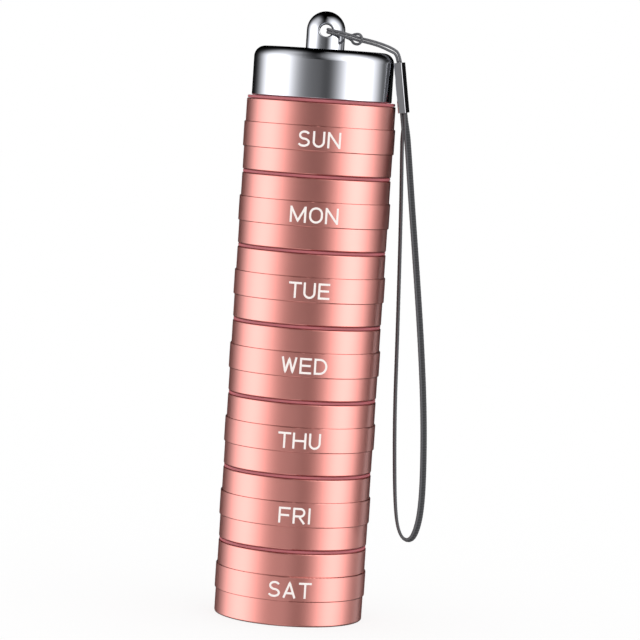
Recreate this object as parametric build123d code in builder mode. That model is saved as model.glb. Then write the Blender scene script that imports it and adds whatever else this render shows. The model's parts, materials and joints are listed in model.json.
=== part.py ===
from build123d import *
from math import cos, radians, sin, tan
import os

# Stackable pill holder: seven screw-together aluminium cups, one for each day of the week, a
# chromed screw cap with a cross-drilled post, and a wrist strap on a thin cord.
# The stack stands on the XY plane, its axis is Z, the lettered front faces -Y and the strap
# hangs on the +X side. Lengths are in millimetres and angles in degrees.

# The days, from the bottom cup to the top one
DAYS = ["sat", "fri", "thu", "wed", "tue", "mon", "sun"]

# Outer form: the height up to the cap's top, and cups with a raised band between two plain ones
STACK_HEIGHT = 105.05
BODY_DIAMETER = 27.4
BAND_HEIGHT = 4.65
BAND_PROUD = 0.22
BAND_EDGE = 0.2
EDGE_BREAK = 0.24
FOOT_HEIGHT = 0.4
FOOT_EDGE = 0.35

# Inside of a cup
FLOOR_THICKNESS = 1.3
BASE_THICKNESS = 1.5
FLOOR_CORNER = 1.5
FOOT_RING_WIDTH = 3.6
FOOT_RECESS = 0.5

# Screw joint between one piece and the next: the neck's thread runs inside the skirt's
SKIRT_WALL = 1.5
NECK_WALL = 1.2
NECK_REACH = 3.8
NECK_LIP = 0.25
SKIRT_ROOM = 0.3
THREAD_PITCH = 2.0
THREAD_DEPTH = 0.5
THREAD_ROOT_WIDTH = 1.0
THREAD_CREST_WIDTH = 0.5
THREAD_START = 0.75
THREAD_RUNOUT = 0.25
THREAD_CLEARANCE = 0.25
THREAD_BITE = 0.2

# Seal ring that lies on the shoulder round each neck
SEAL_THICKNESS = 0.52
SEAL_SEAT_GAP = 0.04
SEAL_NECK_GAP = 0.15
SEAL_INSET = 0.1
SEAL_EDGE = 0.18

# Cap
CAP_INSET = 0.8
CAP_HEIGHT = 9.1
CAP_EDGE = 2.0
CAP_TOP_THICKNESS = 1.5
CAP_WALL = 1.8
CAP_INNER_CORNER = 1.0

# Post on the cap, with its cross hole, and the screw that holds it from inside
POST_DIAMETER = 7.1
POST_HEIGHT = 7.0
POST_HOLE_DIAMETER = 2.3
POST_HOLE_EDGE = 0.25
SPIGOT_DIAMETER = 4.2
SPIGOT_CLEARANCE = 0.02
SPIGOT_SHORT = 0.1
SCREW_DIAMETER = 2.5
SCREW_CLEARANCE = 0.05
SCREW_ENGAGEMENT = 1.5
SCREW_HOLE_EXTRA = 0.2
SCREW_HEAD_DIAMETER = 5.0
SCREW_HEAD_HEIGHT = 1.3
SCREW_HEAD_EDGE = 0.5
SCREW_SLOT_WIDTH = 0.6
SCREW_SLOT_LENGTH = 2.6
SCREW_SLOT_DEPTH = 0.6

# Flat crimp that joins the thin cord to the strap
FERRULE_THICKNESS = 1.5
FERRULE_WIDTH = 3.0
FERRULE_LENGTH = 9.2
FERRULE_WALL = 0.18
FERRULE_CORNER = 0.22
FERRULE_TURN = 16
FERRULE_LEAN = 8.8
FERRULE_TOP_X = 13.8
FERRULE_TOP_Y = -2.2
FERRULE_TOP_Z = 103.5
CRIMP_DENT_DEPTH = 0.08
CRIMP_DENT_LENGTH = 1.6
CRIMP_DENT_SHARES = [0.3, 0.7]

# Thin cord and flat strap
CORD_DIAMETER = 0.5
STRAP_WIDTH = 1.9
STRAP_THICKNESS = 0.48
STRAP_CORNER = 0.16
ARC_SHARE = 0.45

# Overrun of cuts past the faces that they open
OVERRUN = 1.0

# Sizes that follow from the ones above
body_radius = BODY_DIAMETER / 2
band_radius = body_radius + BAND_PROUD
bore_radius = body_radius - SKIRT_WALL
thread_crest_radius = bore_radius - THREAD_CLEARANCE
neck_radius = thread_crest_radius - THREAD_DEPTH
cavity_radius = neck_radius - NECK_WALL
cap_radius = body_radius - CAP_INSET
skirt_depth = NECK_REACH + SKIRT_ROOM
seal_room = SEAL_THICKNESS + 2 * SEAL_SEAT_GAP
pitch_height = (STACK_HEIGHT - CAP_HEIGHT - FOOT_HEIGHT) / len(DAYS)
shoulder_height = pitch_height - seal_room
plain_height = (shoulder_height - BAND_HEIGHT) / 2
neck_top = pitch_height + NECK_REACH
floor_top = skirt_depth + FLOOR_THICKNESS
cap_level = STACK_HEIGHT - CAP_HEIGHT
cap_ceiling = CAP_HEIGHT - CAP_TOP_THICKNESS
cap_top_level = STACK_HEIGHT
post_radius = POST_DIAMETER / 2
post_hole_height = POST_HEIGHT - post_radius
spigot_radius = SPIGOT_DIAMETER / 2
screw_radius = SCREW_DIAMETER / 2
ferrule_plane = Plane(
    origin=(FERRULE_TOP_X, FERRULE_TOP_Y, FERRULE_TOP_Z),
    x_dir=(
        cos(radians(FERRULE_TURN)) * cos(radians(FERRULE_LEAN)),
        -sin(radians(FERRULE_TURN)),
        cos(radians(FERRULE_TURN)) * sin(radians(FERRULE_LEAN)),
    ),
    z_dir=(sin(radians(FERRULE_LEAN)), 0, -cos(radians(FERRULE_LEAN))),
)

# Thin cord, from the crimp over the cap's edge, through its own bight beside the post, through
# the post's hole, round the back of the post, and the same way again with its second strand
CORD_ROUTE = [
    (14.209, -2.274, 102.551),
    (13.81, -2.26, 105.15),
    (12.28, -2.2, 106.1),
    (10.08, -2.2, 106.8),
    (7.97, -2.2, 107.25),
    (5.97, -2.33, 107.57),
    (4.3, -3.15, 108),
    (2.6, -4.1, 108.37),
    (0.35, -4.55, 108.75),
    (0.25, 0, 108.76),
    (0.35, 4.55, 108.78),
    (2.6, 4.15, 108.6),
    (4.15, 2.5, 108.1),
    (4.9, 0.6, 107.96),
    (5.25, -1.3, 108.16),
    (6.1, -2.7, 108.28),
    (6.65, -3.15, 107.7),
    (6.6, -3.15, 106.8),
    (5.95, -2.7, 106.28),
    (5.1, -1.3, 106.5),
    (4.8, 0.6, 107.1),
    (4.1, 2.5, 107.45),
    (2.6, 4.15, 108),
    (0.35, 4.55, 108.24),
    (0.25, 0, 108.24),
    (0.35, -4.55, 108.21),
    (2.6, -4.1, 107.84),
    (4.3, -3.15, 107.48),
    (5.83, -2.35, 107.06),
    (7.83, -2.2, 106.75),
    (9.92, -2.2, 106.3),
    (12, -2.2, 105.65),
    (13.35, -2.14, 104.7),
    (13.697, -2.126, 102.472),
]

# Flat strap, from the crimp down its inner side, round the bottom of the loop and up again: the
# loop lies in an upright plane turned like the crimp
STRAP_ROUTE = [
    (14.511, -2.131, 97.336),
    (15.123, -2.131, 93.383),
    (15.27, -2.217, 88.5),
    (15.78, -2.364, 79.2),
    (16.33, -2.521, 66),
    (16.85, -2.671, 52),
    (17.25, -2.785, 39.5),
    (17.98, -2.995, 28),
    (18.6, -3.173, 21.3),
    (19.3, -3.374, 17.8),
    (20.4, -3.69, 15.95),
    (21.8, -4.091, 15.95),
    (22.68, -4.344, 17.8),
    (23.25, -4.507, 21.4),
    (23.27, -4.513, 28),
    (22.6, -4.321, 39.5),
    (21.2, -3.919, 52.5),
    (19.35, -3.388, 66.5),
    (17.62, -2.892, 79),
    (16.37, -2.533, 88.5),
    (15.598, -2.269, 93.457),
    (14.986, -2.269, 97.41),
]


def turned(rows, level):
    """Revolve a closed outline of (radius, height, corner radius) rows that starts at a level."""
    with BuildPart() as body:
        with BuildSketch(Plane(origin=(0, 0, level), x_dir=(1, 0, 0), z_dir=(0, -1, 0))):
            with BuildLine():
                FilletPolyline(
                    [(r, z) for r, z, corner in rows],
                    radius=[corner for r, z, corner in rows],
                    close=True,
                )
            make_face()
        revolve(axis=Axis.Z)
    return body.part


def thread_ridge(root_radius, depth, start_height, end_height, start_angle):
    """Make one helical ridge, depth proud of its wall (inwards if negative) and buried in it."""
    outwards = 1 if depth > 0 else -1
    half_crest = THREAD_CREST_WIDTH / 2
    flank_slope = (THREAD_ROOT_WIDTH - THREAD_CREST_WIDTH) / 2 / abs(depth)
    half_buried = THREAD_ROOT_WIDTH / 2 + THREAD_BITE * flank_slope
    with BuildPart() as ridge:
        with BuildLine() as helix:
            Helix(THREAD_PITCH, end_height - start_height, root_radius, center=(0, 0, start_height))
        with BuildSketch(Plane(origin=helix.line @ 0, x_dir=(outwards, 0, 0), z_dir=helix.line % 0)):
            with BuildLine():
                Polyline(
                    (-THREAD_BITE, -half_buried),
                    (abs(depth), -half_crest),
                    (abs(depth), half_crest),
                    (-THREAD_BITE, half_buried),
                    close=True,
                )
            make_face()
        sweep(path=helix.line, is_frenet=True)
    with BuildPart() as turned_ridge:
        add(ridge.part, rotation=(0, 0, start_angle))
    return turned_ridge.part


def outer_thread(level):
    """Ridge of a neck, from its mating level up."""
    start = level + THREAD_START
    end = level + NECK_REACH - THREAD_RUNOUT - THREAD_ROOT_WIDTH / 2
    return thread_ridge(neck_radius, THREAD_DEPTH, start, end, 0)


def inner_thread(level):
    """Ridge of a skirt, half a turn from the neck's, so that it runs midway between its turns."""
    start = level + THREAD_START
    end = level + skirt_depth - THREAD_RUNOUT - THREAD_ROOT_WIDTH / 2
    return thread_ridge(bore_radius, -THREAD_DEPTH, start, end, 180)


def upper_rows(foot):
    """Outline of a cup from its lowest outer edge, over bands, shoulder and neck, to its cavity."""
    lower_edge = foot + plain_height
    upper_edge = lower_edge + BAND_HEIGHT
    return [
        (body_radius, lower_edge, 0),
        (band_radius, lower_edge, BAND_EDGE),
        (band_radius, upper_edge, BAND_EDGE),
        (body_radius, upper_edge, 0),
        (body_radius, foot + shoulder_height, EDGE_BREAK),
        (neck_radius, foot + shoulder_height, 0),
        (neck_radius, foot + neck_top, NECK_LIP),
        (cavity_radius, foot + neck_top, NECK_LIP),
    ]


def arc_radii(route):
    """Radius of the arc at each corner of a route: a share of the shorter run, by half the turn."""
    points = [Vector(*point) for point in route]
    radii = []
    for before, corner, after in zip(points, points[1:], points[2:]):
        run_in = corner - before
        run_out = after - corner
        turn = run_in.get_angle(run_out)
        shorter = min(run_in.length, run_out.length)
        radii.append(ARC_SHARE * shorter / tan(radians(turn / 2)))
    return radii


def finish(part, name):
    """Label a piece and write it to its own file."""
    part.label = name
    export_step(part, f"parts/{name}.step")
    return part


os.makedirs("parts", exist_ok=True)

# A cup that is open at both ends: the threaded skirt below takes the neck of the cup under it
open_rows = [
    (0, skirt_depth, 0),
    (bore_radius, skirt_depth, 0),
    (bore_radius, 0, EDGE_BREAK),
    (body_radius, 0, EDGE_BREAK),
    *upper_rows(0),
    (cavity_radius, floor_top, FLOOR_CORNER),
    (0, floor_top, 0),
]
with BuildPart() as open_cup:
    add(turned(open_rows, 0))
    add(outer_thread(pitch_height))
    add(inner_thread(0))

# The bottom cup has a closed base that stands on a narrow ring
foot_ring_radius = body_radius - FOOT_RING_WIDTH
base_rows = [
    (0, FOOT_RECESS, 0),
    (foot_ring_radius, FOOT_RECESS, 0),
    (foot_ring_radius, 0, EDGE_BREAK),
    (body_radius, 0, FOOT_EDGE),
    *upper_rows(FOOT_HEIGHT),
    (cavity_radius, FOOT_RECESS + BASE_THICKNESS, FLOOR_CORNER),
    (0, FOOT_RECESS + BASE_THICKNESS, 0),
]
with BuildPart() as base_cup:
    add(turned(base_rows, 0))
    add(outer_thread(FOOT_HEIGHT + pitch_height))
finish(base_cup.part, f"cup_{DAYS[0]}")

# The other cups stand one section higher each
for step, day in enumerate(DAYS[1:], start=1):
    with BuildPart() as cup:
        with Locations((0, 0, FOOT_HEIGHT + step * pitch_height)):
            add(open_cup.part)
    finish(cup.part, f"cup_{day}")

# A seal ring lies on the shoulder of each cup, round its neck
seal_rows = [
    (neck_radius + SEAL_NECK_GAP, 0, 0),
    (body_radius - SEAL_INSET, 0, SEAL_EDGE),
    (body_radius - SEAL_INSET, SEAL_THICKNESS, SEAL_EDGE),
    (neck_radius + SEAL_NECK_GAP, SEAL_THICKNESS, 0),
]
for step, day in enumerate(DAYS):
    with BuildPart() as seal:
        add(turned(seal_rows, FOOT_HEIGHT + step * pitch_height + shoulder_height + SEAL_SEAT_GAP))
    finish(seal.part, f"seal_{day}")

# Cap: a hollow shell with the same threaded skirt, and a hole for the post's spigot
cap_rows = [
    (bore_radius, skirt_depth, 0),
    (bore_radius, 0, EDGE_BREAK),
    (cap_radius, 0, EDGE_BREAK),
    (cap_radius, CAP_HEIGHT, CAP_EDGE),
    (spigot_radius + SPIGOT_CLEARANCE, CAP_HEIGHT, 0),
    (spigot_radius + SPIGOT_CLEARANCE, cap_ceiling, 0),
    (cap_radius - CAP_WALL, cap_ceiling, CAP_INNER_CORNER),
    (cap_radius - CAP_WALL, skirt_depth, 0),
]
with BuildPart() as cap_shell:
    add(turned(cap_rows, cap_level))
    add(inner_thread(cap_level))
finish(cap_shell.part, "cap_shell")

# Post: a round-ended pin on a spigot, drilled across for the cord and tapped from below
with BuildPart() as lanyard_post:
    with BuildSketch(Plane(origin=(0, 0, cap_top_level), x_dir=(1, 0, 0), z_dir=(0, -1, 0))):
        with BuildLine():
            Polyline(
                (0, POST_HEIGHT),
                (0, SPIGOT_SHORT - CAP_TOP_THICKNESS),
                (spigot_radius, SPIGOT_SHORT - CAP_TOP_THICKNESS),
                (spigot_radius, 0),
                (post_radius, 0),
                (post_radius, post_hole_height),
            )
            RadiusArc((post_radius, post_hole_height), (0, POST_HEIGHT), -post_radius)
        make_face()
    revolve(axis=Axis.Z)
    with Locations(Plane(origin=(0, 0, cap_top_level + post_hole_height), z_dir=(0, -1, 0))):
        Hole(POST_HOLE_DIAMETER / 2)
    mouths = lanyard_post.edges().filter_by(
        lambda edge: abs(edge.center().Y) > spigot_radius
        and edge.center().Z > cap_top_level + SCREW_ENGAGEMENT
        and edge.bounding_box().size.X <= POST_HOLE_DIAMETER + POST_HOLE_EDGE
    )
    fillet(mouths, POST_HOLE_EDGE)
    with Locations(Plane(origin=(0, 0, cap_top_level + SPIGOT_SHORT - CAP_TOP_THICKNESS), z_dir=(0, 0, -1))):
        Hole(screw_radius, depth=CAP_TOP_THICKNESS - SPIGOT_SHORT + SCREW_ENGAGEMENT + SCREW_HOLE_EXTRA)
finish(lanyard_post.part, "lanyard_post")

# Screw that pulls the post down on the cap from inside
ceiling_level = cap_level + cap_ceiling
with BuildPart() as post_screw:
    with BuildSketch(Plane.XY.offset(ceiling_level - SCREW_HEAD_HEIGHT)):
        Circle(SCREW_HEAD_DIAMETER / 2)
    extrude(amount=SCREW_HEAD_HEIGHT)
    fillet(post_screw.edges().sort_by(Axis.Z)[0], SCREW_HEAD_EDGE)
    with BuildSketch(Plane.XY.offset(ceiling_level)):
        Circle(screw_radius - SCREW_CLEARANCE)
    extrude(amount=CAP_TOP_THICKNESS + SCREW_ENGAGEMENT)
    with BuildSketch(Plane.XY.offset(ceiling_level - SCREW_HEAD_HEIGHT)):
        with PolarLocations(0, 2, angular_range=180):
            Rectangle(SCREW_SLOT_LENGTH, SCREW_SLOT_WIDTH)
    extrude(amount=SCREW_SLOT_DEPTH, mode=Mode.SUBTRACT)
finish(post_screw.part, "post_screw")

# Crimp: a flat tube with dents pressed across the broad side that faces the stack
with BuildPart() as crimp_ferrule:
    with BuildSketch(ferrule_plane):
        RectangleRounded(FERRULE_THICKNESS, FERRULE_WIDTH, FERRULE_CORNER)
        RectangleRounded(
            FERRULE_THICKNESS - 2 * FERRULE_WALL,
            FERRULE_WIDTH - 2 * FERRULE_WALL,
            FERRULE_CORNER - FERRULE_WALL,
            mode=Mode.SUBTRACT,
        )
    extrude(amount=FERRULE_LENGTH)
    dent_radius = (CRIMP_DENT_LENGTH**2 / 4 + CRIMP_DENT_DEPTH**2) / (2 * CRIMP_DENT_DEPTH)
    dent_axis = CRIMP_DENT_DEPTH - FERRULE_THICKNESS / 2 - dent_radius
    dent_places = [(dent_axis, 0, share * FERRULE_LENGTH) for share in CRIMP_DENT_SHARES]
    with Locations(ferrule_plane):
        with Locations(*dent_places):
            Cylinder(dent_radius, FERRULE_WIDTH + 2 * OVERRUN, rotation=(90, 0, 0), mode=Mode.SUBTRACT)
finish(crimp_ferrule.part, "crimp_ferrule")

# Thin cord: one tube along its whole route
with BuildPart() as lanyard_cord:
    with BuildLine() as cord_path:
        FilletPolyline(CORD_ROUTE, radius=arc_radii(CORD_ROUTE))
    with BuildSketch(Plane(origin=cord_path.wire() @ 0, z_dir=cord_path.wire() % 0)):
        Circle(CORD_DIAMETER / 2)
    sweep(path=cord_path.wire())
finish(lanyard_cord.part, "lanyard_cord")

# Flat strap: it lies flat on itself in the crimp, and its width stands square to its loop's plane
with BuildPart() as wrist_strap:
    with BuildLine() as strap_path:
        FilletPolyline(STRAP_ROUTE, radius=arc_radii(STRAP_ROUTE))
    with BuildSketch(
        Plane(origin=strap_path.wire() @ 0, x_dir=ferrule_plane.y_dir, z_dir=strap_path.wire() % 0)
    ):
        RectangleRounded(STRAP_WIDTH, STRAP_THICKNESS, STRAP_CORNER)
    sweep(path=strap_path.wire())
finish(wrist_strap.part, "wrist_strap")

for name, route, path, part, section in (
    ("cord", CORD_ROUTE, cord_path, lanyard_cord, Circle(CORD_DIAMETER / 2, mode=Mode.PRIVATE)),
    (
        "strap",
        STRAP_ROUTE,
        strap_path,
        wrist_strap,
        RectangleRounded(STRAP_WIDTH, STRAP_THICKNESS, STRAP_CORNER, mode=Mode.PRIVATE),
    ),
):
    length = path.wire().length
    print(name, "radii", [round(radius, 2) for radius in arc_radii(route)])
    print(name, "length", round(length, 2), "volume", round(part.part.volume, 3),
          "section times length", round(section.area * length, 3))
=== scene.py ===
# %% [markdown]
# # A stackable pill holder
#
# Seven aluminium cups screw into one another, each with the short name of its day in white on a
# raised band. A chromed cap closes the top, and a thin cord through its post carries a flat wrist
# strap. The solid parts come ready-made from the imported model. This lesson gives them their
# finishes, models what is soft or printed, and sets the light and the camera.

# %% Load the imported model
import json
from math import ceil, cos, hypot, pi, radians, sin

import bpy
from mathutils import Matrix, Vector


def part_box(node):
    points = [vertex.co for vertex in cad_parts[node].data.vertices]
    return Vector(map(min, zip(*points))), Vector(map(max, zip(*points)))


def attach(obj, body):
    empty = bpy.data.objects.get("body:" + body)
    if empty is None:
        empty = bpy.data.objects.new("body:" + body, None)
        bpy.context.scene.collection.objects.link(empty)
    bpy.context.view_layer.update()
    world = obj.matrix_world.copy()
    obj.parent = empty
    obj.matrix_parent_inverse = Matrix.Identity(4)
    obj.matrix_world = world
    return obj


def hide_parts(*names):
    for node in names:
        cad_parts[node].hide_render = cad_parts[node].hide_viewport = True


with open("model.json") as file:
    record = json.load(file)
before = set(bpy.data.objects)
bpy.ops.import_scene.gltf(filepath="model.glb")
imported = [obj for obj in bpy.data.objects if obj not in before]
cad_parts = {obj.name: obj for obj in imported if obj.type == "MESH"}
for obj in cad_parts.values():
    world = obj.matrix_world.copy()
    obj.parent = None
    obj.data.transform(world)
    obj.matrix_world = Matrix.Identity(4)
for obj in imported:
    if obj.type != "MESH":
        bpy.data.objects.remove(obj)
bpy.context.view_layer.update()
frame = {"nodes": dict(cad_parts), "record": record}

MM = 0.001
bpy.context.scene.view_settings.view_transform = "Standard"
print("CAD pieces:", len(frame["nodes"]))

# %% [markdown]
# ## The camera
#
# The picture was taken with a long lens, a little above the middle of the stack, and with the
# camera tipped sideways, so that the upright stack leans in the frame. A long lens keeps the edges
# of the cylinder nearly parallel. The lean is a roll of the camera about its own line of sight;
# leaning the object would be wrong, because it stands on the floor.

# %% Set the camera
CAMERA_PLACE = (0.00239, -0.585, 0.098)
CAMERA_DOWN = 4.18
CAMERA_ROLL = 3.794
LENS_MM = 178.4
SENSOR_MM = 36

camera_data = bpy.data.cameras.new("camera")
camera_data.lens = LENS_MM
camera_data.sensor_width = SENSOR_MM
camera = bpy.data.objects.new("camera", camera_data)
bpy.context.scene.collection.objects.link(camera)
camera.matrix_world = (
    Matrix.Translation(CAMERA_PLACE)
    @ Matrix.Rotation(radians(90 - CAMERA_DOWN), 4, "X")
    @ Matrix.Rotation(radians(CAMERA_ROLL), 4, "Z")
)
bpy.context.scene.camera = camera
print("camera looks", CAMERA_DOWN, "degrees down through a lens of", LENS_MM, "mm")

# %% [markdown]
# ## Helpers for materials
#
# A material is a small network of nodes. Two helpers are enough for all of them: one turns a
# colour as a painter writes it, in sRGB hex, into the linear numbers that the renderer works with,
# and one adds a node together with its settings and links.

# %% Colour and node helpers
def linear(hex_colour):
    """Turn an sRGB colour such as "#F0A8A0" into linear red, green, blue and alpha."""
    channels = []
    for start in (1, 3, 5):
        value = int(hex_colour[start : start + 2], 16) / 255
        channels.append(value / 12.92 if value <= 0.04045 else ((value + 0.055) / 1.055) ** 2.4)
    return (*channels, 1.0)


def add_node(tree, kind, settings=None, inputs=None):
    """Add a node, give it its settings, and fill or link its inputs."""
    node = tree.nodes.new(kind)
    for name, value in (settings or {}).items():
        setattr(node, name, value)
    for name, value in (inputs or {}).items():
        if isinstance(value, bpy.types.NodeSocket):
            tree.links.new(value, node.inputs[name])
        else:
            node.inputs[name].default_value = value
    return node


def start_material(name):
    """Make an empty material and return it with its node tree."""
    material = bpy.data.materials.new(name)
    material.use_nodes = True
    material.node_tree.nodes.clear()
    return material, material.node_tree


print("white is", linear("#FFFFFF"))

# %% [markdown]
# ## The studio
#
# Polished metal has no look of its own: it shows the room. The room here has a tall white screen
# on the left and one on the right, with soft edges, and dark gaps in front and behind. That is
# what draws the bright and dark bands down a shiny cylinder. Each screen has a brightness by
# bearing, and dims with the height towards the dark ceiling. The table in front adds a little grey
# from below, and a narrow strip light behind draws a thin line beside the right edge. The right
# screen leans over at its top, so it looks wider there. All of it is painted into the world by
# direction, so the metal looks right from every side, and only reflections see it. Matte surfaces
# are lit by an even white sky of strength 1, under which a colour looks as written, and the camera
# sees the same plain white.

# %% Paint the room into the world
# Each light has its brightness by bearing, in degrees to the right of the camera's side, and a
# share of that by the sine of the height
LEFT_SCREEN = [
    (-180, 0.0),
    (-148, 0.0),
    (-136, 0.1),
    (-127, 0.4),
    (-117, 0.95),
    (-105, 1.8),
    (-90, 2.35),
    (-75, 2.6),
    (-62, 2.0),
    (-50, 1.05),
    (-38, 0.42),
    (-26, 0.14),
    (-12, 0.02),
    (0, 0.0),
    (180, 0.0),
]
LEFT_HEIGHTS = [
    (-1.0, 0.0),
    (-0.5, 0.1),
    (-0.3, 0.7),
    (-0.1, 0.95),
    (0.15, 1.0),
    (0.35, 0.76),
    (0.57, 0.42),
    (0.77, 0.34),
    (0.88, 0.1),
    (0.95, 0.0),
    (1.0, 0.0),
]
RIGHT_SCREEN = [
    (-180, 0.0),
    (0, 0.0),
    (12, 0.05),
    (25, 0.6),
    (38, 1.6),
    (50, 2.65),
    (63, 2.9),
    (78, 2.6),
    (90, 1.6),
    (102, 0.83),
    (112, 0.27),
    (119, 0.03),
    (126, 0.0),
    (180, 0.0),
]
RIGHT_HEIGHTS = [
    (-1.0, 0.0),
    (-0.5, 0.1),
    (-0.3, 0.55),
    (-0.15, 0.78),
    (0.0, 1.0),
    (0.35, 0.98),
    (0.57, 0.75),
    (0.77, 0.55),
    (0.9, 0.37),
    (1.0, 0.02),
]
TABLE = [
    (-180, 0.0),
    (-140, 0.05),
    (-110, 0.4),
    (-60, 0.7),
    (-40, 0.5),
    (-24, 1.3),
    (-8, 1.9),
    (2, 1.3),
    (12, 0.3),
    (30, 0.2),
    (60, 0.4),
    (110, 0.4),
    (130, 0.05),
    (180, 0.0),
]
TABLE_HEIGHTS = [
    (-1.0, 0.4),
    (-0.5, 0.5),
    (-0.27, 0.6),
    (-0.16, 0.4),
    (-0.08, 0.12),
    (-0.03, 0.07),
    (0.0, 0.1),
    (0.04, 0.04),
    (0.08, 0.0),
    (1.0, 0.0),
]
STRIP = [
    (-180, 0.0),
    (113, 0.0),
    (121, 0.12),
    (128, 0.3),
    (133, 0.5),
    (137, 0.45),
    (141, 0.1),
    (145, 0.0),
    (180, 0.0),
]
STRIP_HEIGHTS = [
    (-1.0, 0.3),
    (-0.3, 0.7),
    (-0.2, 1.2),
    (-0.1, 1.7),
    (-0.05, 1.6),
    (-0.02, 1.0),
    (0.05, 1.0),
    (0.12, 0.6),
    (0.2, 0.0),
    (1.0, 0.0),
]

# A ramp's colours hold numbers as shares of the brightest one
BRIGHTEST = 3.0

# How much narrower than at eye level the right screen looks, by the sine of the height
RIGHT_NARROWER = [
    (-1.0, 1.4),
    (-0.3, 1.35),
    (-0.15, 1.22),
    (-0.07, 1.03),
    (0.05, 1.0),
    (0.2, 0.86),
    (0.5, 0.8),
    (0.9, 0.75),
    (1.0, 0.74),
]
RIGHT_MIDDLE = 88.0

world = bpy.data.worlds.new("studio")
world.use_nodes = True
world.cycles.sampling_method = "NONE"
bpy.context.scene.world = world
room = world.node_tree
room.nodes.clear()


def share_of_range(value, lowest, highest):
    """Where a value lies in a range: 0 at its lowest and 1 at its highest."""
    return add_node(
        room, "ShaderNodeMapRange", inputs={"Value": value, "From Min": lowest, "From Max": highest}
    ).outputs["Result"]


def number_ramp(share, rows):
    """Turn a share of a range into a number, smoothly, by rows of (place in the range, number)."""
    ramp = add_node(room, "ShaderNodeValToRGB", inputs={"Fac": share})
    ramp.color_ramp.interpolation = "B_SPLINE"
    stops = ramp.color_ramp.elements
    while len(stops) < len(rows):
        stops.new(0.5)
    lowest, highest = rows[0][0], rows[-1][0]
    for stop, (place, number) in zip(stops, rows):
        stop.position = (place - lowest) / (highest - lowest)
        stop.color = (number / BRIGHTEST,) * 3 + (1.0,)
    return add_node(
        room, "ShaderNodeMath", {"operation": "MULTIPLY"}, {0: ramp.outputs["Color"], 1: BRIGHTEST}
    ).outputs[0]


direction = add_node(room, "ShaderNodeTexCoord")
parts = add_node(room, "ShaderNodeSeparateXYZ", inputs={0: direction.outputs["Generated"]})
height = share_of_range(parts.outputs["Z"], -1.0, 1.0)
towards_camera = add_node(
    room, "ShaderNodeMath", {"operation": "MULTIPLY"}, {0: parts.outputs["Y"], 1: -1.0}
)
bearing = add_node(
    room,
    "ShaderNodeMath",
    {"operation": "ARCTAN2"},
    {0: parts.outputs["X"], 1: towards_camera.outputs[0]},
)
turn = share_of_range(bearing.outputs[0], -pi, pi)
from_middle = add_node(
    room, "ShaderNodeMath", {"operation": "SUBTRACT"}, {0: bearing.outputs[0], 1: radians(RIGHT_MIDDLE)}
)
narrowed = add_node(
    room,
    "ShaderNodeMath",
    {"operation": "MULTIPLY_ADD"},
    {0: from_middle.outputs[0], 1: number_ramp(height, RIGHT_NARROWER), 2: radians(RIGHT_MIDDLE)},
)
narrowed_turn = share_of_range(narrowed.outputs[0], -pi, pi)
room_light = 0.0
for turned, light, heights in (
    (turn, LEFT_SCREEN, LEFT_HEIGHTS),
    (narrowed_turn, RIGHT_SCREEN, RIGHT_HEIGHTS),
    (turn, TABLE, TABLE_HEIGHTS),
    (turn, STRIP, STRIP_HEIGHTS),
):
    room_light = add_node(
        room,
        "ShaderNodeMath",
        {"operation": "MULTIPLY_ADD"},
        {0: number_ramp(turned, light), 1: number_ramp(height, heights), 2: room_light},
    ).outputs[0]
ray = add_node(room, "ShaderNodeLightPath")
strength = add_node(
    room,
    "ShaderNodeMix",
    {"data_type": "FLOAT"},
    {"Factor": ray.outputs["Is Glossy Ray"], "A": 1.0, "B": room_light},
)
background = add_node(room, "ShaderNodeBackground", inputs={"Strength": strength.outputs["Result"]})
background.inputs["Color"].default_value = (1.0, 1.0, 1.0, 1.0)
add_node(room, "ShaderNodeOutputWorld", inputs={"Surface": background.outputs[0]})
print("the right screen is brightest at", max(RIGHT_SCREEN, key=lambda row: row[1]))

# %% [markdown]
# ## The floor
#
# The floor is plain white paper. It has to vanish into the white behind the object and still hold
# the soft shadow round the foot. Most of its light is its own, at strength 1, and the rest is
# reflected, so that the shadow shows but stays pale. Reflections pass it by, because the metal
# shows the tall screens right down to its foot.

# %% Lay the floor
FLOOR_HALF = 3.0
FLOOR_OWN_LIGHT = 0.78

floor_mesh = bpy.data.meshes.new("floor")
floor_mesh.from_pydata(
    [(x * FLOOR_HALF, y * FLOOR_HALF, 0) for x, y in ((-1, -1), (1, -1), (1, 1), (-1, 1))],
    [],
    [(0, 1, 2, 3)],
)
floor = bpy.data.objects.new("floor", floor_mesh)
bpy.context.scene.collection.objects.link(floor)
floor.visible_glossy = False

paper, tree = start_material("white_paper_floor")
matte = add_node(tree, "ShaderNodeBsdfDiffuse", inputs={"Color": (1.0, 1.0, 1.0, 1.0)})
own = add_node(tree, "ShaderNodeEmission", inputs={"Strength": 1.0})
both = add_node(
    tree, "ShaderNodeMixShader", inputs={0: FLOOR_OWN_LIGHT, 1: matte.outputs[0], 2: own.outputs[0]}
)
add_node(tree, "ShaderNodeOutputMaterial", inputs={"Surface": both.outputs[0]})
floor_mesh.materials.append(paper)
print("floor is", 2 * FLOOR_HALF, "m across")
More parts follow.
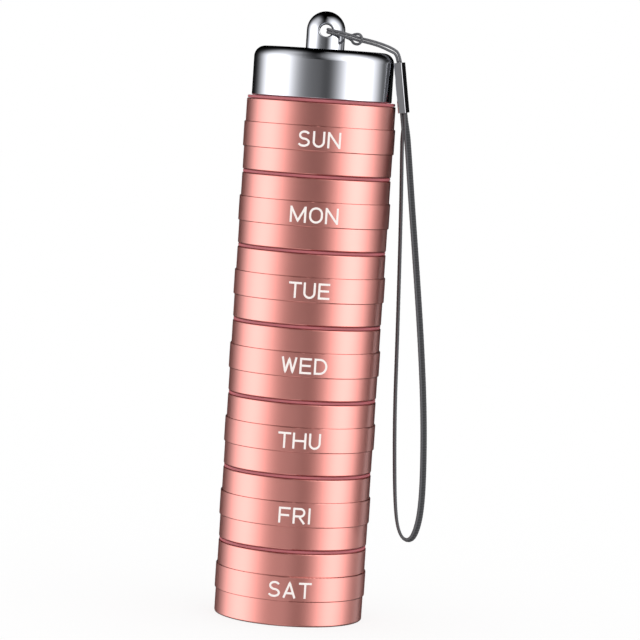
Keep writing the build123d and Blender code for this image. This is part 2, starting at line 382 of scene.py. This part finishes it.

# %% [markdown]
# ## The cord's line
#
# The thin cord is one length. Both its ends are pinched in the crimp. Its bight goes round the
# back of the post and comes forward over its own two strands: a lark's head, the simplest hitch
# for a loop. The line is a NURBS curve through the air beside a few listed points. It is
# smooth like real cord, which polylines aren't.

# %% Draw the route of the cord
CORD_DIAMETER = 0.5 * MM
CORD_ROUTE = [
    (14.209, -2.274, 102.551),
    (13.81, -2.26, 105.15),
    (12.28, -2.2, 106.1),
    (10.08, -2.2, 106.8),
    (7.97, -2.2, 107.25),
    (5.97, -2.33, 107.57),
    (4.3, -3.15, 108),
    (2.6, -4.1, 108.37),
    (0.35, -4.55, 108.75),
    (0.25, 0, 108.76),
    (0.35, 4.55, 108.78),
    (2.6, 4.15, 108.6),
    (4.15, 2.5, 108.1),
    (4.9, 0.6, 107.96),
    (5.25, -1.3, 108.16),
    (6.1, -2.7, 108.28),
    (6.65, -3.15, 107.7),
    (6.6, -3.15, 106.8),
    (5.95, -2.7, 106.28),
    (5.1, -1.3, 106.5),
    (4.8, 0.6, 107.1),
    (4.1, 2.5, 107.45),
    (2.6, 4.15, 108),
    (0.35, 4.55, 108.24),
    (0.25, 0, 108.24),
    (0.35, -4.55, 108.21),
    (2.6, -4.1, 107.84),
    (4.3, -3.15, 107.48),
    (5.83, -2.35, 107.06),
    (7.83, -2.2, 106.75),
    (9.92, -2.2, 106.3),
    (11.82, -2.2, 105.56),
    (13.36, -2.14, 104.92),
    (13.697, -2.126, 102.472),
]
CORD_LINE_STEPS = 24


def smooth_line(route, steps):
    """Read back the points of the NURBS curve that a route in millimetres controls, in metres."""
    curve = bpy.data.curves.new("line", "CURVE")
    curve.dimensions = "3D"
    curve.resolution_u = steps
    spline = curve.splines.new("NURBS")
    spline.points.add(len(route) - 1)
    for point, place in zip(spline.points, route):
        point.co = (*(value * MM for value in place), 1.0)
    spline.order_u = 3
    spline.use_endpoint_u = True
    holder = bpy.data.objects.new("line", curve)
    mesh = bpy.data.meshes.new_from_object(holder)
    points = [vertex.co.copy() for vertex in mesh.vertices]
    bpy.data.objects.remove(holder)
    bpy.data.curves.remove(curve)
    bpy.data.meshes.remove(mesh)
    return points


def distances_along(points):
    """Distance of each point from the first, measured along the line."""
    far = [0.0]
    for before, after in zip(points, points[1:]):
        far.append(far[-1] + (after - before).length)
    return far


cord_line = smooth_line(CORD_ROUTE, CORD_LINE_STEPS)

# %% [markdown]
# ## A braided cord
#
# Thin lanyard cord is braided: sixteen yarns in two sets cross over each other on the slant, and
# the surface is a fine grid of small lozenges. A round tube is swept along the line, and each of
# its rings is pushed in and out where the yarns cross. The tube carries a map of how far round and
# how far along each point is, from which the material paints the raised threads lighter and the
# hollows between them darker: painted highlight and painted shade.

# %% Sweep a tube along a line
def carried_frames(points, side):
    """Tangent, side and up at each point of a line, carried along it without twisting."""
    frames = []
    for index, point in enumerate(points):
        before = points[max(index - 1, 0)]
        after = points[min(index + 1, len(points) - 1)]
        tangent = (after - before).normalized()
        side = (side - tangent * side.dot(tangent)).normalized()
        frames.append((tangent, side, tangent.cross(side)))
    return frames


def swept_mesh(name, points, frames, section, across):
    """Sweep rings along a line and close both ends. section gives a ring's points at a distance."""
    far = distances_along(points)
    vertices = []
    for point, (tangent, side, up), along in zip(points, frames, far):
        vertices += [point + side * a + up * b for a, b in section(along)]
    count = len(section(0.0))
    faces = []
    for ring in range(len(points) - 1):
        for k in range(count):
            here, right = ring * count + k, ring * count + (k + 1) % count
            faces.append((here, right, right + count, here + count))
    faces.append(tuple(reversed(range(count))))
    faces.append(tuple(range((len(points) - 1) * count, len(points) * count)))
    mesh = bpy.data.meshes.new(name)
    mesh.from_pydata([tuple(v) for v in vertices], [], faces)
    layer = mesh.uv_layers.new(name="laid_out")
    for polygon in mesh.polygons:
        places = {mesh.loops[index].vertex_index % count for index in polygon.loop_indices}
        wraps = {0, count - 1} <= places
        for index in polygon.loop_indices:
            ring, k = divmod(mesh.loops[index].vertex_index, count)
            k = count if wraps and k == 0 and len(polygon.vertices) == 4 else k
            layer.data[index].uv = (k / count * across / MM, far[ring] / MM)
    mesh.polygons.foreach_set("use_smooth", [len(p.vertices) == 4 for p in mesh.polygons])
    piece = bpy.data.objects.new(name, mesh)
    bpy.context.scene.collection.objects.link(piece)
    return piece


YARN_PAIRS = 4
BRAID_STEP = 0.45 * MM
YARN_RELIEF = 0.05
CORD_SIDES = 24


def cord_section(along):
    """One ring of the braided cord, fuller where a yarn lies on top."""
    ring = []
    for k in range(CORD_SIDES):
        angle = 2 * pi * k / CORD_SIDES
        lift = sin(YARN_PAIRS * angle + 2 * pi * along / BRAID_STEP)
        cross = sin(YARN_PAIRS * angle - 2 * pi * along / BRAID_STEP)
        radius = CORD_DIAMETER / 2 * (1 - YARN_RELIEF * (1 - lift * cross) / 2)
        ring.append((radius * cos(angle), radius * sin(angle)))
    return ring


cord_frames = carried_frames(cord_line, Vector((0, 1, 0)))
cord = swept_mesh("braided_cord", cord_line, cord_frames, cord_section, pi * CORD_DIAMETER)
print("cord mesh:", len(cord.data.vertices), "vertices")

# %% [markdown]
# ## A woven strap
#
# The wrist strap is a narrow flat tape, woven thick so that it keeps its loop. It hangs in one
# plane with its edge nearly towards the camera, and both ends go up into the crimp. Its section is
# a flat bar with rounded edges; fine ribs run across it, one for each weft thread. Both strands
# turn about their own line soon below the crimp, by 25 degrees on the way down and by 16 on the way
# up, as a tape does that wasn't clamped quite straight. So the left strand shows its edge, and the
# right one some of its broad side.

# %% Model the strap
STRAP_WIDTH = 1.9 * MM
STRAP_THICKNESS = 0.48 * MM
STRAP_ROUTE = [
    (14.511, -2.131, 97.336),
    (15.123, -2.131, 93.383),
    (15.27, -2.217, 88.5),
    (15.78, -2.364, 79.2),
    (16.33, -2.521, 66),
    (16.85, -2.671, 52),
    (17.25, -2.785, 39.5),
    (17.98, -2.995, 28),
    (18.6, -3.173, 21.3),
    (19.3, -3.374, 17.8),
    (20.4, -3.69, 15.95),
    (21.8, -4.091, 15.95),
    (22.68, -4.344, 17.8),
    (23.25, -4.507, 21.4),
    (23.27, -4.513, 28),
    (22.6, -4.321, 39.5),
    (21.2, -3.919, 52.5),
    (19.35, -3.388, 66.5),
    (17.62, -2.892, 79),
    (16.37, -2.533, 88.5),
    (15.598, -2.269, 93.457),
    (14.986, -2.269, 97.41),
]
STRAP_LINE_STEPS = 40
STRAP_CORNER_STEPS = 4
STRAP_EDGE_SHARE = 0.9
WEFT_STEP = 0.5 * MM
WEFT_RELIEF = 0.025 * MM

# Direction of the tape's width in the crimp, and its turn in degrees at shares of its length
STRAP_SIDE = Vector((0.276, 0.961, 0))
STRAP_TURNS = [
    (0, 0),
    (0.018, 0),
    (0.05, -25),
    (0.4, -25),
    (0.58, -16),
    (0.95, -16),
    (0.982, 0),
    (1, 0),
]

strap_line = smooth_line(STRAP_ROUTE, STRAP_LINE_STEPS)


def strap_section(along):
    """One ring of the tape: flat faces, rounded edges, and the rise and fall of the weft."""
    rib = WEFT_RELIEF * (0.5 + 0.5 * cos(2 * pi * along / WEFT_STEP))
    half_wide = STRAP_WIDTH / 2 - rib / 2
    half_thick = STRAP_THICKNESS / 2 - rib
    edge = half_thick * STRAP_EDGE_SHARE
    ring = []
    for corner_a, corner_b, start in ((1, 1, 0), (-1, 1, 90), (-1, -1, 180), (1, -1, 270)):
        for step in range(STRAP_CORNER_STEPS):
            angle = radians(start + step * 90 / (STRAP_CORNER_STEPS - 1))
            ring.append(
                (
                    corner_a * (half_wide - edge) + edge * cos(angle),
                    corner_b * (half_thick - edge) + edge * sin(angle),
                )
            )
    return ring


def turn_at(share):
    """How far the tape is turned at a share of its length, in degrees, easing between the rows."""
    for (start, first), (end, second) in zip(STRAP_TURNS, STRAP_TURNS[1:]):
        if share <= end:
            way = (share - start) / (end - start)
            return first + (second - first) * way * way * (3 - 2 * way)
    return STRAP_TURNS[-1][1]


def twisted(frames, points):
    """Turn the frames about the line by the tape's own turns."""
    far = distances_along(points)
    turned = []
    for (tangent, side, up), along in zip(frames, far):
        angle = radians(turn_at(along / far[-1]))
        turned.append(
            (tangent, side * cos(angle) + up * sin(angle), up * cos(angle) - side * sin(angle))
        )
    return turned


strap_frames = twisted(carried_frames(strap_line, STRAP_SIDE), strap_line)
strap = swept_mesh("woven_strap", strap_line, strap_frames, strap_section, 2 * STRAP_WIDTH)

# %% [markdown]
# ## Put the soft pieces on the cap
#
# The cord and the strap take the place of their plain solids, and ride on the cap.

for piece, node, slot in ((cord, "lanyard_cord", "cord_braid"), (strap, "wrist_strap", "strap_weave")):
    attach(piece, "cap")
    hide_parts(node)

# %% [markdown]
# ## Anodised aluminium
#
# The cups are turned from aluminium bar, bead-blasted finely and anodised in a rose colour. Dye in
# the clear oxide layer tints every reflection, so the colour belongs to the metal itself, and the
# sealed surface of that layer is a clear coat with a faint reflection of its own. The lathe's fine
# grooves run round the cup and smear reflections up and down, which is why the bands of light are
# long and soft. The grooves' real pitch is about 0.05 mm; they are drawn three times as coarse, so
# that they just show.

# %% Make the rose anodised aluminium
ROSE = "#EA988F"
ROSE_DEEP = "#E49188"
GROOVE_PITCH_MM = 0.15

rose_metal, tree = start_material("rose_anodised_aluminium")
place = add_node(tree, "ShaderNodeTexCoord")
grooves_map = add_node(
    tree,
    "ShaderNodeMapping",
    inputs={
        "Vector": place.outputs["Object"],
        "Scale": (60.0, 60.0, 1 / (GROOVE_PITCH_MM * MM)),
    },
)
grooves = add_node(
    tree, "ShaderNodeTexNoise", inputs={"Vector": grooves_map.outputs[0], "Scale": 1.0, "Detail": 2.0}
)
cloud = add_node(
    tree, "ShaderNodeTexNoise", inputs={"Vector": place.outputs["Object"], "Scale": 90.0, "Detail": 3.0}
)
tint = add_node(
    tree,
    "ShaderNodeMix",
    {"data_type": "RGBA"},
    {"Factor": cloud.outputs["Fac"], "A": linear(ROSE_DEEP), "B": linear(ROSE)},
)
relief = add_node(
    tree,
    "ShaderNodeBump",
    inputs={"Height": grooves.outputs["Fac"], "Strength": 0.12, "Distance": 0.01 * MM},
)
round_the_axis = add_node(tree, "ShaderNodeTangent", {"direction_type": "RADIAL", "axis": "Z"})
rose_shader = add_node(
    tree,
    "ShaderNodeBsdfPrincipled",
    inputs={
        "Base Color": tint.outputs["Result"],
        "Metallic": 1.0,
        "Roughness": 0.3,
        "Anisotropic": 0.6,
        "Tangent": round_the_axis.outputs[0],
        "Coat Weight": 1.0,
        "Coat Roughness": 0.25,
        "Coat IOR": 1.5,
        "Normal": relief.outputs[0],
    },
)
add_node(tree, "ShaderNodeOutputMaterial", inputs={"Surface": rose_shader.outputs[0]})

# %% [markdown]
# ## Silicone, chrome, steel and yarn
#
# The sealing rings are moulded silicone, dyed to match the cups: soft, matte, a little waxy. The
# cap and its post are brass under bright chrome plate, polished until reflections are sharp. The
# screw inside is plain turned steel. The crimp is pressed from bright plated strip. Cord and strap
# are polyester yarn, dark grey, with a faint sheen along each thread.

# %% Make the other finishes
# Pitch of the screw's turning marks, and how many times over a wave texture of scale 1 repeats
TURNING_PITCH = 0.2 * MM
WAVE_FACTOR = 20

silicone, tree = start_material("rose_silicone_rubber")
place = add_node(tree, "ShaderNodeTexCoord")
skin = add_node(
    tree,
    "ShaderNodeTexNoise",
    inputs={"Vector": place.outputs["Object"], "Scale": 2500.0, "Detail": 2.0},
)
skin_relief = add_node(
    tree,
    "ShaderNodeBump",
    inputs={"Height": skin.outputs["Fac"], "Strength": 0.15, "Distance": 0.02 * MM},
)
silicone_shader = add_node(
    tree,
    "ShaderNodeBsdfPrincipled",
    inputs={
        "Base Color": linear("#B4646A"),
        "Roughness": 0.5,
        "IOR": 1.41,
        "Subsurface Weight": 0.1,
        "Subsurface Radius": (1.0, 0.3, 0.3),
        "Subsurface Scale": 0.3 * MM,
        "Normal": skin_relief.outputs[0],
    },
)
add_node(tree, "ShaderNodeOutputMaterial", inputs={"Surface": silicone_shader.outputs[0]})

chrome, tree = start_material("bright_chrome_plate")
place = add_node(tree, "ShaderNodeTexCoord")
polish = add_node(
    tree, "ShaderNodeTexNoise", inputs={"Vector": place.outputs["Object"], "Scale": 120.0, "Detail": 2.0}
)
haze = add_node(
    tree,
    "ShaderNodeMapRange",
    inputs={"Value": polish.outputs["Fac"], "To Min": 0.05, "To Max": 0.09},
)
chrome_shader = add_node(
    tree,
    "ShaderNodeBsdfPrincipled",
    inputs={"Base Color": linear("#CFD1D8"), "Metallic": 1.0, "Roughness": haze.outputs["Result"]},
)
add_node(tree, "ShaderNodeOutputMaterial", inputs={"Surface": chrome_shader.outputs[0]})

steel, tree = start_material("turned_steel")
place = add_node(tree, "ShaderNodeTexCoord")
turning = add_node(
    tree,
    "ShaderNodeTexWave",
    {"wave_type": "RINGS", "rings_direction": "Z"},
    {"Vector": place.outputs["Object"], "Scale": 1 / TURNING_PITCH / WAVE_FACTOR, "Distortion": 0.3},
)
turning_relief = add_node(
    tree,
    "ShaderNodeBump",
    inputs={"Height": turning.outputs["Fac"], "Strength": 0.2, "Distance": 0.01 * MM},
)
steel_shader = add_node(
    tree,
    "ShaderNodeBsdfPrincipled",
    inputs={
        "Base Color": linear("#C9C8C6"),
        "Metallic": 1.0,
        "Roughness": 0.3,
        "Normal": turning_relief.outputs[0],
    },
)
add_node(tree, "ShaderNodeOutputMaterial", inputs={"Surface": steel_shader.outputs[0]})

crimp_plate, tree = start_material("pressed_plated_strip")
place = add_node(tree, "ShaderNodeTexCoord")
rolling = add_node(
    tree,
    "ShaderNodeMapping",
    inputs={"Vector": place.outputs["Object"], "Scale": (9000.0, 9000.0, 300.0)},
)
rolled = add_node(tree, "ShaderNodeTexNoise", inputs={"Vector": rolling.outputs[0], "Scale": 1.0})
rolled_relief = add_node(
    tree,
    "ShaderNodeBump",
    inputs={"Height": rolled.outputs["Fac"], "Strength": 0.04, "Distance": 0.01 * MM},
)
crimp_shader = add_node(
    tree,
    "ShaderNodeBsdfPrincipled",
    inputs={
        "Base Color": linear("#B2B2B6"),
        "Metallic": 1.0,
        "Roughness": 0.1,
        "Normal": rolled_relief.outputs[0],
    },
)
add_node(tree, "ShaderNodeOutputMaterial", inputs={"Surface": crimp_shader.outputs[0]})

# The tape's map runs round it in millimetres: the middle of its first broad face, and the step
# from there to the second
TAPE_FACE_MIDDLE = 0.83
TAPE_FACE_STEP = STRAP_WIDTH / MM


def yarn_material(name, dark, light, along_step, across_step, lit_edge_colour=None):
    """Woven polyester yarn: two sets of threads cross, at steps in millimetres along and across it;
    raised threads are painted lighter and hollows darker, as painted highlight and painted shade.
    A tape's narrow edges can be painted lighter, as painted light."""
    material, tree = start_material(name)
    laid_out = add_node(tree, "ShaderNodeUVMap", {"uv_map": "laid_out"})
    axes = add_node(tree, "ShaderNodeSeparateXYZ", inputs={0: laid_out.outputs[0]})
    across = add_node(
        tree,
        "ShaderNodeMath",
        {"operation": "MULTIPLY"},
        {0: axes.outputs["X"], 1: 2 * pi / across_step},
    )
    along = add_node(
        tree,
        "ShaderNodeMath",
        {"operation": "MULTIPLY"},
        {0: axes.outputs["Y"], 1: 2 * pi / along_step},
    )
    waves = []
    for operation in ("ADD", "SUBTRACT"):
        slant = add_node(
            tree, "ShaderNodeMath", {"operation": operation}, {0: across.outputs[0], 1: along.outputs[0]}
        )
        waves.append(add_node(tree, "ShaderNodeMath", {"operation": "SINE"}, {0: slant.outputs[0]}))
    crossing = add_node(
        tree,
        "ShaderNodeMath",
        {"operation": "MULTIPLY"},
        {0: waves[0].outputs[0], 1: waves[1].outputs[0]},
    )
    # Painted highlight and shade: the colour is lighter where the threads are raised, darker in the
    # hollows
    raised_and_lit = add_node(
        tree,
        "ShaderNodeMapRange",
        inputs={"Value": crossing.outputs[0], "From Min": -0.6, "From Max": 0.6},
    )
    colour = add_node(
        tree,
        "ShaderNodeMix",
        {"data_type": "RGBA"},
        {"Factor": raised_and_lit.outputs["Result"], "A": linear(dark), "B": linear(light)},
    )
    # Painted light: the tape's narrow edges are painted lighter than its broad faces
    if lit_edge_colour:
        round_the_tape = add_node(
            tree,
            "ShaderNodeMath",
            {"operation": "MULTIPLY_ADD"},
            {
                0: axes.outputs["X"],
                1: 2 * pi / TAPE_FACE_STEP,
                2: -2 * pi * TAPE_FACE_MIDDLE / TAPE_FACE_STEP,
            },
        )
        faceward = add_node(
            tree, "ShaderNodeMath", {"operation": "COSINE"}, {0: round_the_tape.outputs[0]}
        )
        on_face = add_node(
            tree,
            "ShaderNodeMapRange",
            inputs={"Value": faceward.outputs[0], "From Min": 0.8, "From Max": 0.92},
        )
        colour = add_node(
            tree,
            "ShaderNodeMix",
            {"data_type": "RGBA"},
            {
                "Factor": on_face.outputs["Result"],
                "A": linear(lit_edge_colour),
                "B": colour.outputs["Result"],
            },
        )
    relief = add_node(
        tree,
        "ShaderNodeBump",
        inputs={"Height": raised_and_lit.outputs["Result"], "Strength": 0.5, "Distance": 0.03 * MM},
    )
    shader = add_node(
        tree,
        "ShaderNodeBsdfPrincipled",
        inputs={
            "Base Color": colour.outputs["Result"],
            "Roughness": 0.6,
            "Specular IOR Level": 0.3,
            "Sheen Weight": 0.1,
            "Sheen Roughness": 0.4,
            "Normal": relief.outputs[0],
        },
    )
    add_node(tree, "ShaderNodeOutputMaterial", inputs={"Surface": shader.outputs[0]})
    return material


yarn_step = pi * CORD_DIAMETER / YARN_PAIRS
# The lighter yarn colour is painted highlight on the raised threads; the darker one is painted shade in
# the hollows
cord_yarn = yarn_material("braided_polyester", "#3E3E41", "#8A8A8E", BRAID_STEP / MM, yarn_step / MM)
# 5C5C5F is painted light on the tape's narrow edges; the broad faces keep the dark yarn colours
strap_yarn = yarn_material("woven_polyester_tape", "#262628", "#444447", 1.0, 0.6, "#5C5C5F")
print("materials:", sorted(material.name for material in bpy.data.materials))

# %% [markdown]
# ## Dress the solid parts
#
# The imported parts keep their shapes. Each gets its material in place of the plain one, and smooth
# shading that stops at sharp edges: a turned part is smooth round its axis and crisp at its rims.

# %% Give the solids their materials
SHARP_DEGREES = 35


def dress(node, material):
    """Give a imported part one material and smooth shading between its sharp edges."""
    part = frame["nodes"][node]
    part.data.materials.clear()
    part.data.materials.append(material)
    part.data.polygons.foreach_set("material_index", [0] * len(part.data.polygons))
    part.data.shade_smooth()
    part.data.set_sharp_from_angle(angle=radians(SHARP_DEGREES))


for name in frame["nodes"]:
    if name.startswith("cup_"):
        dress(name, rose_metal)
    elif name.startswith("seal_"):
        dress(name, silicone)
dress("cap_shell", chrome)
dress("lanyard_post", chrome)
dress("post_screw", steel)
dress("crimp_ferrule", crimp_plate)
cord.data.materials.append(cord_yarn)
strap.data.materials.append(strap_yarn)

# %% [markdown]
# ## The names of the days
#
# The short names are screen-printed in white enamel: thick strokes of one width, with plain
# rounded shapes. Each letter is written here as a few pen strokes in a box as tall as a capital,
# and a flat ribbon of the stroke's width is laid along each. The ribbons are then wrapped round
# the band like the real print, and stand a few hundredths of a millimetre proud of it.

# %% Write the letters as pen strokes
CAPITAL = 2.92
STROKE = 0.38
LETTER_GAP = 0.47
GAP_AFTER = {"T": 0.33, "O": 0.42, "S": 0.5, "M": 0.52}
INK_PROUD = 0.03
INK_STEP = 0.002
INK_BURIED = 0.04
STROKE_STEP = 0.2
ARC_STEP = 0.12
HALF = STROKE / 2


def arc(cx, cy, rx, ry, start, end):
    """Points along part of an ellipse, in degrees from the right, anticlockwise."""
    count = max(3, ceil(abs(radians(end - start)) * max(rx, ry) / ARC_STEP))
    turns = [radians(start + (end - start) * k / count) for k in range(count + 1)]
    return [(cx + rx * cos(t), cy + ry * sin(t)) for t in turns]


def letter_strokes(letter):
    """Outer width of a letter and the middle lines of its strokes, in millimetres."""
    low, high, mid = HALF, CAPITAL - HALF, CAPITAL / 2
    if letter == "S":
        w, r = 2.3, (CAPITAL - STROKE) / 4
        top = arc(w / 2 + 0.12, high - r, 0.84, r, 26, 268)
        bottom = arc(w / 2, low + r, w / 2 - HALF, r, 76, -156)
        return w, [top + bottom]
    if letter == "U":
        w = 2.2
        rx = w / 2 - HALF
        return w, [[(HALF, CAPITAL), *arc(w / 2, low + rx, rx, rx, 180, 360), (w - HALF, CAPITAL)]]
    if letter == "N":
        w = 2.45
        return w, [
            [(HALF, 0), (HALF, CAPITAL)],
            [(w - HALF, 0), (w - HALF, CAPITAL)],
            [(HALF, CAPITAL - 0.12), (w - HALF, 0.12)],
        ]
    if letter == "M":
        w = 3.0
        return w, [
            [(HALF, 0), (HALF, CAPITAL)],
            [(w - HALF, 0), (w - HALF, CAPITAL)],
            [(HALF, CAPITAL - 0.12), (w / 2, 0.3), (w - HALF, CAPITAL - 0.12)],
        ]
    if letter == "O":
        w = 2.5
        r = w / 2 - HALF
        ring = arc(w / 2, high - r, r, r, 0, 180) + arc(w / 2, low + r, r, r, 180, 360)
        return w, [ring + [ring[0]]]
    if letter == "T":
        w = 2.38
        return w, [[(0, high), (w, high)], [(w / 2, 0), (w / 2, high - HALF)]]
    if letter == "E":
        w = 2.15
        return w, [
            [(w, high), (HALF, high), (HALF, low), (w, low)],
            [(STROKE, mid + 0.05), (w - 0.15, mid + 0.05)],
        ]
    if letter == "F":
        w = 2.15
        return w, [[(w, high), (HALF, high), (HALF, 0)], [(STROKE, mid), (w - 0.2, mid)]]
    if letter == "W":
        w = 2.92
        return w, [
            [
                (HALF, CAPITAL),
                (w * 0.27, 0.2),
                (w / 2, CAPITAL - 0.3),
                (w * 0.73, 0.2),
                (w - HALF, CAPITAL),
            ]
        ]
    if letter == "D":
        w = 2.45
        r = (CAPITAL - STROKE) / 2
        rx = 1.25
        bowl = arc(w - HALF - rx, mid, rx, r, 90, -90)
        return w, [[(HALF, low), (HALF, high), *bowl, (HALF, low)]]
    if letter == "H":
        w = 2.48
        return w, [
            [(HALF, 0), (HALF, CAPITAL)],
            [(w - HALF, 0), (w - HALF, CAPITAL)],
            [(STROKE, mid), (w - STROKE, mid)],
        ]
    if letter == "R":
        w = 2.34
        r = (CAPITAL - STROKE) * 0.27
        bowl = arc(w - 0.1 - HALF - r, high - r, r, r, 90, -90)
        return w, [
            [(HALF, 0), (HALF, high), *bowl, (STROKE, high - 2 * r)],
            [(w / 2 + 0.05, high - 2 * r - HALF), (w - HALF - 0.02, 0)],
        ]
    if letter == "I":
        return STROKE, [[(HALF, 0), (HALF, CAPITAL)]]
    if letter == "A":
        w = 2.4
        return w, [
            [(HALF, 0), (w / 2, CAPITAL - 0.15), (w - HALF, 0)],
            [(w * 0.25, CAPITAL * 0.3), (w * 0.75, CAPITAL * 0.3)],
        ]
    raise ValueError(f"no strokes for {letter}")


print("letters:", {letter: round(letter_strokes(letter)[0], 2) for letter in "SUNMOTEWDHFRIA"})

# %% [markdown]
# ## Ribbons round the band
#
# A stroke becomes a ribbon with square ends and mitred corners. Long runs are cut into short steps
# first, because a straight ribbon can't bend round a cylinder. Each ribbon is a thin closed solid.

# %% Lay the ribbons
# From the top of a cup's neck down to the middle of its band, the band's own radius, and how far
# to the right of the cup's front a word stands, in millimetres
BAND_BELOW_NECK = 11.05 * MM
BAND_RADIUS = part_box("cup_sun")[1].x
WORD_SHIFT = 0.11

# The least cosine that a mitre is worked out for, so that a sharp corner doesn't grow a spike
MITRE_LIMIT = 0.62


def stepped(stroke):
    """The same stroke with its long runs cut into short steps."""
    points = [stroke[0]]
    for (ax, ay), (bx, by) in zip(stroke, stroke[1:]):
        count = max(1, ceil(hypot(bx - ax, by - ay) / STROKE_STEP))
        points += [(ax + (bx - ax) * k / count, ay + (by - ay) * k / count) for k in range(1, count + 1)]
    return points


def ribbon_edges(stroke, closed):
    """Left and right edge points of a ribbon, with mitred corners."""
    pairs = []
    last = len(stroke) - 1
    for index, point in enumerate(stroke):
        here = Vector(point)
        before = Vector(stroke[index - 1] if index else stroke[-2] if closed else point)
        after = Vector(stroke[index + 1] if index < last else stroke[1] if closed else point)
        way_in = (here - before).normalized() if before != here else (after - here).normalized()
        way_out = (after - here).normalized() if after != here else way_in
        normal_in = Vector((-way_in.y, way_in.x))
        normal_out = Vector((-way_out.y, way_out.x))
        mitre = (normal_in + normal_out).normalized()
        reach = HALF / max(mitre.dot(normal_in), MITRE_LIMIT)
        pairs.append((here + mitre * reach, here - mitre * reach))
    return pairs


def wrapped(point, level, radius):
    """Place a flat point, in millimetres from the word's middle, on the front of the cylinder."""
    angle = point.x * MM / BAND_RADIUS
    return (radius * sin(angle), -radius * cos(angle), level + point.y * MM)


def print_word(word, body, level):
    """Print a word round the band whose middle is at this level, and let it ride with its cup."""
    letters = [letter_strokes(letter) for letter in word]
    gaps = [GAP_AFTER.get(letter, LETTER_GAP) for letter in word[:-1]] + [0]
    total = sum(width for width, strokes in letters) + sum(gaps)
    offset = Vector((WORD_SHIFT - total / 2, -CAPITAL / 2))
    vertices, faces = [], []
    for (width, strokes), gap in zip(letters, gaps):
        for layer, stroke in enumerate(strokes):
            top = BAND_RADIUS + (INK_PROUD + INK_STEP * layer) * MM
            closed = stroke[0] == stroke[-1]
            pairs = ribbon_edges(stepped(stroke), closed)
            pairs = pairs[:-1] if closed else pairs
            first = len(vertices)
            for left, right in pairs:
                for point in (left, right):
                    vertices.append(wrapped(point + offset, level, top))
                for point in (left, right):
                    vertices.append(wrapped(point + offset, level, BAND_RADIUS - INK_BURIED * MM))
            count = len(pairs)
            for k in range(count if closed else count - 1):
                a, b = first + 4 * k, first + 4 * ((k + 1) % count)
                faces += [
                    (a, a + 1, b + 1, b),
                    (a + 1, a + 3, b + 3, b + 1),
                    (a + 3, a + 2, b + 2, b + 3),
                    (a + 2, a, b, b + 2),
                ]
            if not closed:
                z = first + 4 * (count - 1)
                faces += [(first, first + 2, first + 3, first + 1), (z, z + 1, z + 3, z + 2)]
        offset.x += width + gap
    mesh = bpy.data.meshes.new(f"print_{word.lower()}")
    mesh.from_pydata(vertices, [], faces)
    mesh.materials.append(enamel)
    piece = bpy.data.objects.new(mesh.name, mesh)
    bpy.context.scene.collection.objects.link(piece)
    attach(piece, body)
    return total


enamel, tree = start_material("white_screen_print_enamel")
place = add_node(tree, "ShaderNodeTexCoord")
mottle = add_node(
    tree,
    "ShaderNodeTexNoise",
    inputs={"Vector": place.outputs["Object"], "Scale": 1500.0, "Detail": 2.0},
)
ink_colour = add_node(
    tree,
    "ShaderNodeMix",
    {"data_type": "RGBA"},
    {"Factor": mottle.outputs["Fac"], "A": linear("#FBF0EB"), "B": linear("#FFFAF6")},
)
enamel_shader = add_node(
    tree,
    "ShaderNodeBsdfPrincipled",
    inputs={"Base Color": ink_colour.outputs["Result"], "Roughness": 0.45, "IOR": 1.5},
)
add_node(tree, "ShaderNodeOutputMaterial", inputs={"Surface": enamel_shader.outputs[0]})

bodies = frame["record"]["behaviour"]["bodies"]
for body, members in bodies.items():
    for node in members:
        if node.startswith("cup_"):
            low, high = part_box(node)
            level = high.z - BAND_BELOW_NECK
            width = print_word(node[4:].upper(), body, level)
            print(node, "printed at", round(level / MM, 2), "word width", round(width, 2))
